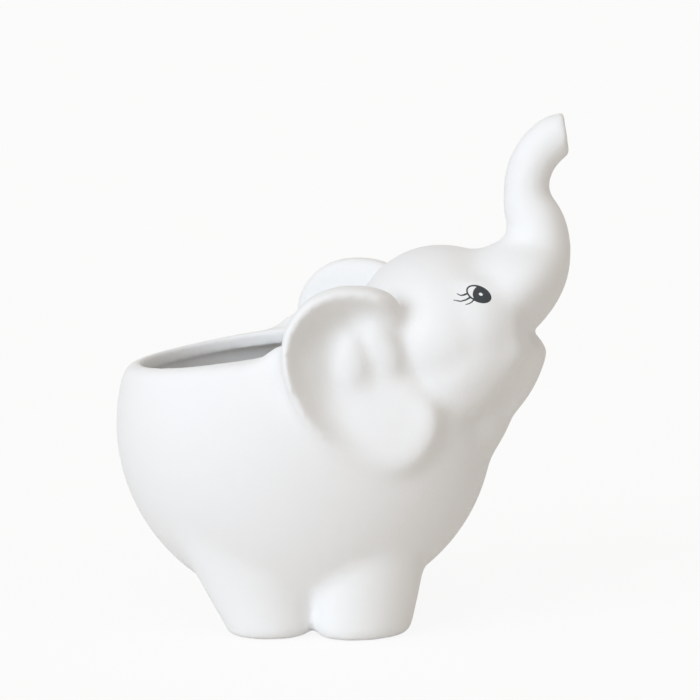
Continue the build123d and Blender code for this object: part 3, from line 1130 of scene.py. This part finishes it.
# %% Patterns
def new_finish(name):
    """An empty material, with its shader and the wire of its Object coordinates."""
    finish = bpy.data.materials.new(name)
    finish.use_nodes = True
    tree = finish.node_tree
    shader = tree.nodes["Principled BSDF"]
    place = Wire(tree, tree.nodes.new("ShaderNodeTexCoord").outputs["Object"])
    return finish, shader, place


def noise(place, scale, detail, roughness):
    """Cloudy noise from 0 to 1, scale in spots for each metre."""
    inputs = {"Vector": place, "Scale": scale, "Detail": detail, "Roughness": roughness}
    return place.out("ShaderNodeTexNoise", {}, inputs, "Fac")


def spread(middle, width, pattern):
    """A value round a middle, that a pattern moves up and down."""
    return middle + width * (pattern - 0.5)


def blend(place, share, first, second):
    """A colour between two, by a wire."""
    return place.out(
        "ShaderNodeMix", {"data_type": "RGBA"}, {"Factor": share, 6: first, 7: second}, 2
    )


def join_to(shader, place, colour, roughness, height, strength, distance):
    """Wire the colour, the roughness and a bumped normal to a shader."""
    inputs = {"Strength": strength, "Distance": distance, "Height": height}
    bump = place.out("ShaderNodeBump", {}, inputs, "Normal")
    for name, wire in (("Base Color", colour), ("Roughness", roughness), ("Normal", bump)):
        place.tree.links.new(wire.socket, shader.inputs[name])


print("patterns ready")

# %% [markdown]
# The clay is white and matt, with the fine sand of an unglazed casting: grains about half a
# millimetre across catch the light, and slow clouds make some places a little warmer. The print is
# the same clay seen through dark ink, so it keeps a little of the grain. The stopper is pale
# rubber.

# %% Clay
CLAY_COOL = (0.87, 0.872, 0.875, 1)
CLAY_WARM = (0.895, 0.89, 0.88, 1)
MATT_GLOSS = 0.3
bisque, shader, place = new_finish("bisque_clay")
sand = noise(place, scale=1500, detail=2, roughness=0.6)
patches = noise(place, scale=260, detail=3, roughness=0.55)
clouds = noise(place, scale=26, detail=2, roughness=0.5)
clay_colour = blend(place, clouds, CLAY_COOL, CLAY_WARM)
clay_roughness = spread(0.66, 0.2, patches)
clay_height = sand * 0.7 + patches * 0.5
join_to(
    shader, place, clay_colour, clay_roughness, clay_height, strength=0.55, distance=0.00014
)
shader.inputs["Specular IOR Level"].default_value = MATT_GLOSS
print("finish", bisque.name)

# %% Ink and rubber
INK_DARK = (0.026, 0.03, 0.034, 1)
INK_PALE = (0.042, 0.048, 0.053, 1)
RUBBER_DARK = (0.58, 0.58, 0.56, 1)
RUBBER_PALE = (0.66, 0.66, 0.64, 1)
ink, shader, place = new_finish("eye_ink")
sand = noise(place, scale=1800, detail=2, roughness=0.6)
patches = noise(place, scale=700, detail=2, roughness=0.5)
ink_colour = blend(place, patches, INK_DARK, INK_PALE)
ink_roughness = spread(0.5, 0.2, sand)
join_to(shader, place, ink_colour, ink_roughness, sand, strength=0.15, distance=0.00005)
shader.inputs["Specular IOR Level"].default_value = MATT_GLOSS

rubber, shader, place = new_finish("stopper_rubber")
bloom = noise(place, scale=320, detail=3, roughness=0.6)
rubber_grain = noise(place, scale=2600, detail=2, roughness=0.5)
rubber_colour = blend(place, bloom, RUBBER_DARK, RUBBER_PALE)
rubber_roughness = spread(0.5, 0.25, bloom)
join_to(
    shader, place, rubber_colour, rubber_roughness, rubber_grain, strength=0.2, distance=0.00005
)
print("finishes", [finish.name for finish in (ink, rubber)])

# %% [markdown]
# ## Handing the pieces over
# Each piece gets its finish and takes the place of its CAD node. The castings take their shading
# normals from the whole skin, but only where they lie on it, so that the cuts keep their own. The
# stopper is small and plain, and its CAD mesh shows it well, so it keeps that and only gets rubber.

# %% Hand the pieces over
SEAM_REACH = 0.2


def hand_over(piece, node, body, finish):
    """Give a piece its finish and smooth shading, hang it on its body and hide the CAD node that it
    stands in for.
    """
    piece.data.materials.clear()
    piece.data.materials.append(finish)
    for face in piece.data.polygons:
        face.material_index = 0
    take(piece)
    bpy.ops.object.shade_smooth()
    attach(piece, body)
    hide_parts(node)


for node, piece in castings.items():
    hand_over(piece, node, "planter", bisque)
    apply_modifier(
        piece, "DATA_TRANSFER", object=whole, use_loop_data=True,
        data_types_loops={"CUSTOM_NORMAL"}, loop_mapping="POLYINTERP_NEAREST",
        use_max_distance=True, max_distance=SEAM_REACH * MM,
    )
bpy.data.objects.remove(whole)
hand_over(right_eye, "right_eye", "planter", ink)
hand_over(left_eye, "left_eye", "planter", ink)
stopper = frame["nodes"]["drain_plug"]
for slot in stopper.material_slots:
    slot.material = rubber
for spare in (cut_face, skin_face):
    bpy.data.materials.remove(spare)
print("pieces", len(castings) + 2)

# %% [markdown]
# ## Floor, light and camera
# The pot stands on a white floor in soft light from the upper left, with a warm grey shade at the
# lower right. A brighter lamp would whiten the background but clip the clay, so the background is
# white only for the rays that show it: to the camera, in a reflection or through glass. The camera
# is a long lens a metre away, a little above the pot.

# %% Floor
FLOOR_GLOW = 0.9
FLOOR_DARK = (0.83, 0.80, 0.76, 1)
FLOOR_PALE = (0.85, 0.82, 0.78, 1)
WHITE = (1, 1, 1, 1)
start_clean()
bpy.ops.mesh.primitive_plane_add(size=40.0, location=(0, 0, 0))
floor = bpy.context.object
floor.name = "floor"
floor_finish, shader, place = new_finish("white_floor")
shader.inputs["Roughness"].default_value = 0.9
floor_clouds = noise(place, scale=3, detail=2, roughness=0.5)
floor_colour = blend(place, floor_clouds, FLOOR_DARK, FLOOR_PALE)
place.tree.links.new(floor_colour.socket, shader.inputs["Base Color"])


def shown_rays(wire):
    """1 for the rays that show a background: to the camera, in a reflection or through glass."""
    rays = wire.node("ShaderNodeLightPath", {}, {})
    names = ("Is Camera Ray", "Is Glossy Ray", "Is Transmission Ray")
    seen, glossy, through = [Wire(wire.tree, rays.outputs[name]) for name in names]
    return wire.maths("MAXIMUM", seen, wire.maths("MAXIMUM", glossy, through))


glow = place.out("ShaderNodeEmission", {}, {"Color": WHITE, "Strength": 1.0}, 0)
lit = Wire(place.tree, shader.outputs[0])
glow_share = shown_rays(place) * FLOOR_GLOW
surface = place.out("ShaderNodeMixShader", {}, {0: glow_share, 1: lit, 2: glow}, 0)
place.tree.links.new(surface.socket, place.tree.nodes["Material Output"].inputs["Surface"])
floor.data.materials.append(floor_finish)
print("floor", tuple(floor.dimensions))

# %% World and lamps
AMBIENT = (0.42, 0.385, 0.345, 1)
# Each lamp is a name, a place, a strength, a softness in degrees and a colour
LAMPS = [
    ("window_lamp", Vector((-0.85, -1.0, 0.55)), 1.76, 38, (0.78, 0.88, 1.0)),
    ("top_lamp", Vector((0.1, -0.5, 1.0)), 0.56, 60, (1.0, 1.0, 1.0)),
]
scene = bpy.context.scene
world = bpy.data.worlds.new("studio")
scene.world = world
world.use_nodes = True
background = world.node_tree.nodes["Background"]
sky = Wire(world.node_tree, background.outputs[0])
sky_colour = blend(sky, shown_rays(sky), AMBIENT, WHITE)
world.node_tree.links.new(sky_colour.socket, background.inputs["Color"])
for name, stand_at, strength, softness, colour in LAMPS:
    lamp = bpy.data.lights.new(name, "SUN")
    lamp.energy, lamp.angle, lamp.color = strength, math.radians(softness), colour
    stand = bpy.data.objects.new(name, lamp)
    bpy.context.collection.objects.link(stand)
    stand.location = stand_at
    stand.rotation_euler = (-stand_at).to_track_quat("-Z", "Y").to_euler()
print("world and", len(LAMPS), "lamps set")

# %% Camera
CAMERA_AIM = Vector((0.0026, 0, 0.0949))
CAMERA_TURN = math.radians(2)
CAMERA_RISE = math.radians(8)
CAMERA_AWAY = 1.0
CAMERA_LENS = 150.6
CAMERA_SENSOR = 36.0
camera_data = bpy.data.cameras.new("camera")
camera = bpy.data.objects.new("camera", camera_data)
bpy.context.collection.objects.link(camera)
camera_back = Vector((
    math.sin(CAMERA_TURN) * math.cos(CAMERA_RISE),
    -math.cos(CAMERA_TURN) * math.cos(CAMERA_RISE),
    math.sin(CAMERA_RISE),
))
camera.location = CAMERA_AIM + camera_back * CAMERA_AWAY
camera.rotation_euler = (-camera_back).to_track_quat("-Z", "Y").to_euler()
camera_data.sensor_width = CAMERA_SENSOR
camera_data.lens = CAMERA_LENS
scene.camera = camera
scene.view_settings.view_transform = "Standard"
print("camera at", [round(x, 3) for x in camera.location])

# %% Clear the selection
start_clean()
